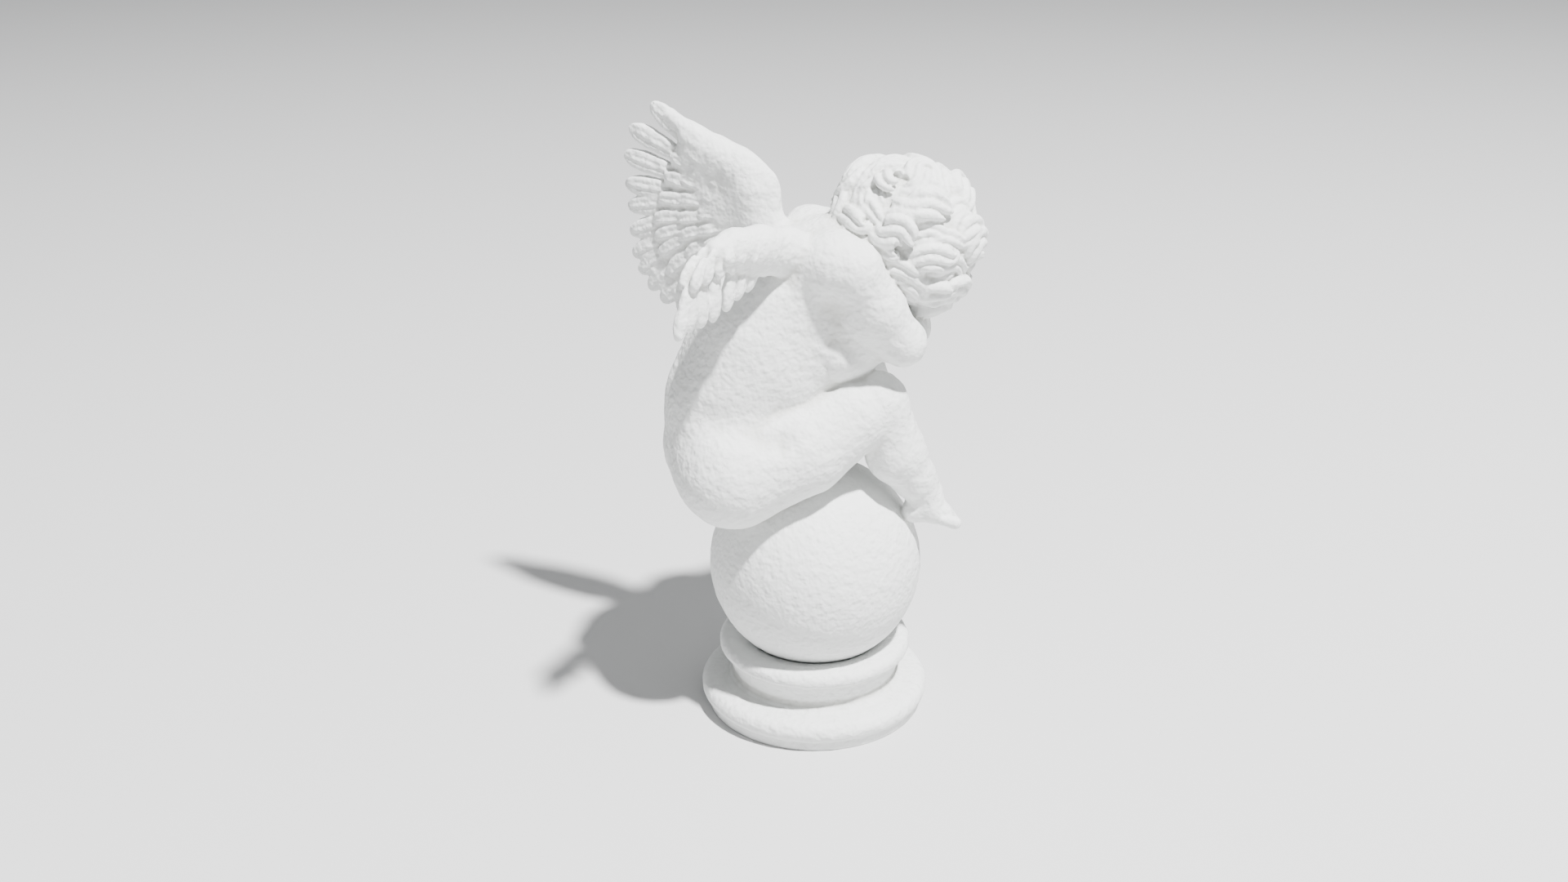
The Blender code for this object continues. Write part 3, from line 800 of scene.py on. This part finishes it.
def wing_frame(side, turn):
    """The wing's root and axes: out along the wing, up, and across its thickness."""
    out = Vector((sin(radians(turn)), cos(radians(turn)), 0))
    up = Vector((0, 0, 1))
    frame_of_wing = Matrix((out, up, up.cross(out))).transposed().to_4x4()
    frame_of_wing.translation = Vector((side * WING_ROOT[0], *WING_ROOT[1:]))
    return frame_of_wing


def add_feathers(heap, frame_of_wing, rows):
    """The rows of feathers on both faces of a wing."""
    blade = ball_shape(*BLADE_STEPS)
    for length, half_width, offset, tips in rows:
        for layer, roll in ((offset, FEATHER_ROLL), (-offset, -FEATHER_ROLL)):
            for tip in tips:
                add_feather(heap, blade, tip, length, half_width, layer, roll, frame_of_wing)


def drop_cavities(mesh):
    """Deletes the small closed shells left inside the stone."""
    bm = bmesh.new()
    bm.from_mesh(mesh)
    unseen = set(bm.verts)
    shells = []
    for start in bm.verts:
        if start in unseen:
            unseen.remove(start)
            shell = [start]
            for vert in shell:
                for edge in vert.link_edges:
                    other = edge.other_vert(vert)
                    if other in unseen:
                        unseen.remove(other)
                        shell.append(other)
            shells.append(shell)
    shells.sort(key=len)
    bmesh.ops.delete(bm, geom=[vert for shell in shells[:-1] for vert in shell], context="VERTS")
    bm.to_mesh(mesh)
    bm.free()


def weather(mesh, depth, spacing):
    """Gives the skin the slight unevenness of worn stone."""
    corners, normals = corners_and_normals(mesh)
    places = map(Vector, corners / spacing)
    swell = [noise.noise(place) + 0.5 * noise.noise(place * 2.1) for place in places]
    set_corners(mesh, corners + normals * (np.array(swell) * depth)[:, None])


def mark_recesses(mesh):
    """Stores how deep each corner lies in a hollow, for the painted shade there."""
    corners, normals = corners_and_normals(mesh)
    edges = np.empty(len(mesh.edges) * 2, dtype=int)
    mesh.edges.foreach_get("vertices", edges)
    edges = edges.reshape(-1, 2)
    number = np.bincount(edges.ravel(), minlength=len(corners))[:, None]
    smooth = corners
    for _ in range(RECESS_ROUNDS):
        total = np.zeros_like(corners)
        for axis in range(3):
            total[:, axis] = np.bincount(edges[:, 0], smooth[edges[:, 1], axis], len(corners))
            total[:, axis] += np.bincount(edges[:, 1], smooth[edges[:, 0], axis], len(corners))
        smooth = total / np.maximum(number, 1)
    sunk = ((smooth - corners) * normals).sum(1)
    recess = mesh.attributes.new("recess", "FLOAT", "POINT")
    recess.data.foreach_set("value", np.clip(sunk / RECESS_DEPTH, 0, 1))


def carve_putto(ball_radius, figure_height, stone):
    """The cherub, its wings and its ball as one carved stone."""
    groups, details = body_groups(), details_of_figure()
    flesh = Heap()
    round_shape = ball_shape(*FORM_STEPS)
    for forms, _, _ in groups + details[1]:
        for form in forms:
            form.add_to(flesh, round_shape)
    details[2].add_to(flesh, round_shape)
    putto = bpy.data.objects.new("carved_putto", flesh.mesh("flesh"))
    bpy.context.scene.collection.objects.link(putto)
    fuse(putto, FLESH_VOXEL)
    melt(putto.data, groups, details)

    carving = Heap()
    carving.add(*corners_and_triangles(putto.data))
    digits = fingers(RIGHT_HAND) + fingers(LEFT_HAND) + toes(RIGHT_FOOT, -1) + toes(LEFT_FOOT, 1)
    for digit in digits:
        digit.add_to(carving, round_shape)
    strand = ball_shape(*STRAND_STEPS)
    for rings, height, radius, spacing, length, curl in HAIR_LAYERS:
        for points, ways, stout in lock_paths(rings, height, length, curl):
            add_lock(carving, strand, points, ways, radius * stout, spacing * stout)
    add_feathers(carving, wing_frame(1, RAISED_TURN), RAISED_ROWS)
    add_feathers(carving, wing_frame(-1, LOWERED_TURN), LOWERED_ROWS)
    unit = figure_height / FIGURE_UNITS
    corners, faces = ball_shape(*BALL_STEPS)
    carving.add(corners * ball_radius / unit - (0, 0, ball_radius / unit), faces)
    putto.data = carving.mesh("carved_putto")
    fuse(putto, CARVED_VOXEL)

    for side in (1, -1):
        for line, cut in EYE_LINES:
            engrave(putto.data, [(ear * side, crown) for ear, crown in line], *cut)
    engrave(putto.data, MOUTH_LINE, *FINE_CUT)
    thin = putto.modifiers.new("Thin", "DECIMATE")
    thin.ratio = min(1, MOST_TRIANGLES / (2 * len(putto.data.polygons)))
    apply_modifiers(putto)
    drop_cavities(putto.data)
    weather(putto.data, *FIGURE_WEAR)
    ball_top = Matrix.Translation((0, 0, BALL_BOX[0][2] + 2 * ball_radius))
    putto.data.transform(ball_top @ Matrix.Scale(unit, 4))
    finish_piece(putto, stone, "putto_on_globe")


def arc(centre, radius, start, end, steps):
    """Points (r, z) round part of a circle, with the angles in degrees above +X."""
    angles = (radians(start + (end - start) * step / steps) for step in range(steps + 1))
    return [(centre[0] + radius * cos(angle), centre[1] + radius * sin(angle)) for angle in angles]


def plinth_outline(ball_radius):
    """The turned outline, from the middle of the seat over the outside to the underside."""
    seat = ball_radius + SEAT_CLEARANCE
    edge = asin(SEAT_RADIUS / seat)
    ball_centre = RING_TOP + sqrt(ball_radius**2 - SEAT_RADIUS**2)
    disc_middle = (DISC_RADIUS - DISC_LIP / 2, SKIRT_HEIGHT + DISC_LIP / 2)
    ring_middle = (RING_RADIUS - RING_LIP / 2, RING_TOP - RING_LIP / 2)
    outline = arc((0, ball_centre), seat, -90, -90 + np.degrees(edge), 30)[1:]
    outline += [((outline[-1][0] + ring_middle[0]) / 2, RING_TOP)]
    outline += arc(ring_middle, RING_LIP / 2, 80, -80, 22)
    foot = disc_middle[1] + DISC_LIP / 2
    outline += [(NECK_RADIUS + out, foot + up) for out, up in COVE]
    outline += arc(disc_middle, DISC_LIP / 2, 80, -62, 24)
    outline += [(DISC_RADIUS - DISC_LIP * share, height) for share, height in SKIRT]
    return outline + [(UNDERSIDE_RADIUS, 0.0)]


def turn_plinth(ball_radius, stone):
    """The round plinth, spun from its outline and worn a little."""
    bm = bmesh.new()
    outline = [bm.verts.new((r, 0, z)) for r, z in plinth_outline(ball_radius)]
    edges = [bm.edges.new(pair) for pair in zip(outline, outline[1:])]
    long_edges = [edge for edge in edges if edge.calc_length() > LONGEST_EDGE]
    bmesh.ops.subdivide_edges(bm, edges=long_edges, cuts=4)
    bmesh.ops.spin(bm, geom=bm.verts[:] + bm.edges[:], cent=(0, 0, 0), axis=(0, 0, 1), angle=2 * pi,
                   steps=TURNED_STEPS, use_merge=True)
    bmesh.ops.remove_doubles(bm, verts=bm.verts, dist=1e-6)
    bmesh.ops.holes_fill(bm, edges=[edge for edge in bm.edges if edge.is_boundary], sides=0)
    bmesh.ops.triangulate(bm, faces=[face for face in bm.faces if len(face.verts) > 4])
    bmesh.ops.recalc_face_normals(bm, faces=bm.faces)
    mesh = bpy.data.meshes.new("dressed_plinth")
    bm.to_mesh(mesh)
    bm.free()
    plinth = bpy.data.objects.new("dressed_plinth", mesh)
    bpy.context.scene.collection.objects.link(plinth)
    still = corners_and_normals(mesh)[0]
    weather(mesh, *PLINTH_WEAR)
    worn = corners_and_normals(mesh)[0]
    beside_seat = np.hypot(still[:, 0], still[:, 1]) > SEAT_RADIUS + SEAT_MARGIN
    free = (still[:, 2] > SHARP_HEIGHT) & beside_seat
    set_corners(mesh, np.where(free[:, None], worn, still))
    finish_piece(plinth, stone, "turned_plinth")


def finish_piece(piece, stone, node):
    """Smooths a piece's shading, gives it its stone and lets it stand for its CAD solid."""
    piece.data.polygons.foreach_set("use_smooth", [True] * len(piece.data.polygons))
    mark_recesses(piece.data)
    piece.data.materials.clear()
    piece.data.materials.append(stone)
    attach(piece, "root")
    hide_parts(node)


class PUTTO_OT_carve(bpy.types.Operator):
    """Carve the cherub, its wings and its ball"""

    bl_idname = "putto.carve"
    bl_label = "Carve Cherub"

    def execute(self, context):
        settings = context.scene.putto
        stone = pitted_stone("CarvedStone", settings)
        carve_putto(settings.ball_diameter / 2, settings.figure_height, stone)
        return {"FINISHED"}


class PUTTO_OT_turn(bpy.types.Operator):
    """Turn the round plinth"""

    bl_idname = "putto.turn"
    bl_label = "Turn Plinth"

    def execute(self, context):
        settings = context.scene.putto
        stone = pitted_stone("TurnedStone", settings)
        turn_plinth(settings.ball_diameter / 2, stone)
        return {"FINISHED"}


class PUTTO_OT_studio(bpy.types.Operator):
    """Set the floor, the lights and the camera"""

    bl_idname = "putto.studio"
    bl_label = "Set Studio"

    def execute(self, context):
        studio = context.scene.putto_studio
        set_floor(studio.floor_colour)
        set_lights(context.scene, studio.key_power, studio.sky_strength)
        set_camera(context.scene)
        return {"FINISHED"}


class PUTTO_PT_panel(bpy.types.Panel):
    """The statue's tools and settings"""

    bl_idname = "PUTTO_PT_panel"
    bl_label = "Stone Putto"
    bl_space_type = "VIEW_3D"
    bl_region_type = "UI"
    bl_category = "Putto"

    def draw(self, context):
        for settings in (context.scene.putto, context.scene.putto_studio):
            for name in type(settings).__annotations__:
                self.layout.prop(settings, name)
        for operator in (PUTTO_OT_carve, PUTTO_OT_turn, PUTTO_OT_studio):
            self.layout.operator(operator.bl_idname)


def set_floor(colour):
    """A plain pale floor that fills the view."""
    bm = bmesh.new()
    bmesh.ops.create_circle(bm, cap_ends=True, segments=96, radius=FLOOR_RADIUS)
    mesh = bpy.data.meshes.new("floor")
    bm.to_mesh(mesh)
    bm.free()
    floor = bpy.data.objects.new("floor", mesh)
    bpy.context.scene.collection.objects.link(floor)
    paper = Shader("PaleFloor")
    floor.data.materials.append(paper.finish(Base_Color=tuple(colour), Roughness=FLOOR_ROUGHNESS))


def set_lights(scene, key_power, sky_strength):
    """A key light from above the figure's right side, a broad weak one overhead and an even sky."""
    for name, place, size, share in LAMPS:
        light = bpy.data.lights.new(name, "AREA")
        light.shape = "DISK"
        light.size = size
        light.energy = key_power * share
        lamp = bpy.data.objects.new(name, light)
        lamp.location = place
        lamp.rotation_euler = (Vector(place) - VIEW_TARGET).to_track_quat("Z", "Y").to_euler()
        scene.collection.objects.link(lamp)
    world = bpy.data.worlds.new("studio")
    world.use_nodes = True
    sky = world.node_tree.nodes["Background"]
    sky.inputs["Color"].default_value = SKY_COLOUR
    sky.inputs["Strength"].default_value = sky_strength
    scene.world = world


def set_camera(scene):
    """The camera at the photograph's viewing angle."""
    camera = bpy.data.objects.new("camera", bpy.data.cameras.new("camera"))
    camera.data.sensor_fit = "VERTICAL"
    camera.data.sensor_height = 24
    camera.data.angle = radians(VIEW_HEIGHT_ANGLE)
    camera.data.clip_end = 50
    camera.location = VIEW_TARGET - VIEW_WAY.normalized() * VIEW_DISTANCE
    camera.rotation_euler = VIEW_WAY.to_track_quat("-Z", "Y").to_euler()
    scene.collection.objects.link(camera)
    scene.camera = camera


CLASSES = (
    PuttoSettings, StudioSettings, PUTTO_OT_carve, PUTTO_OT_turn, PUTTO_OT_studio, PUTTO_PT_panel,
)


def register():
    for entry in CLASSES:
        bpy.utils.register_class(entry)
    bpy.types.Scene.putto = bpy.props.PointerProperty(type=PuttoSettings)
    bpy.types.Scene.putto_studio = bpy.props.PointerProperty(type=StudioSettings)


def unregister():
    del bpy.types.Scene.putto_studio
    del bpy.types.Scene.putto
    for entry in reversed(CLASSES):
        bpy.utils.unregister_class(entry)


def main():
    register()
    bpy.ops.putto.carve()
    bpy.ops.putto.turn()
    bpy.ops.putto.studio()


if __name__ == "__main__":
    main()
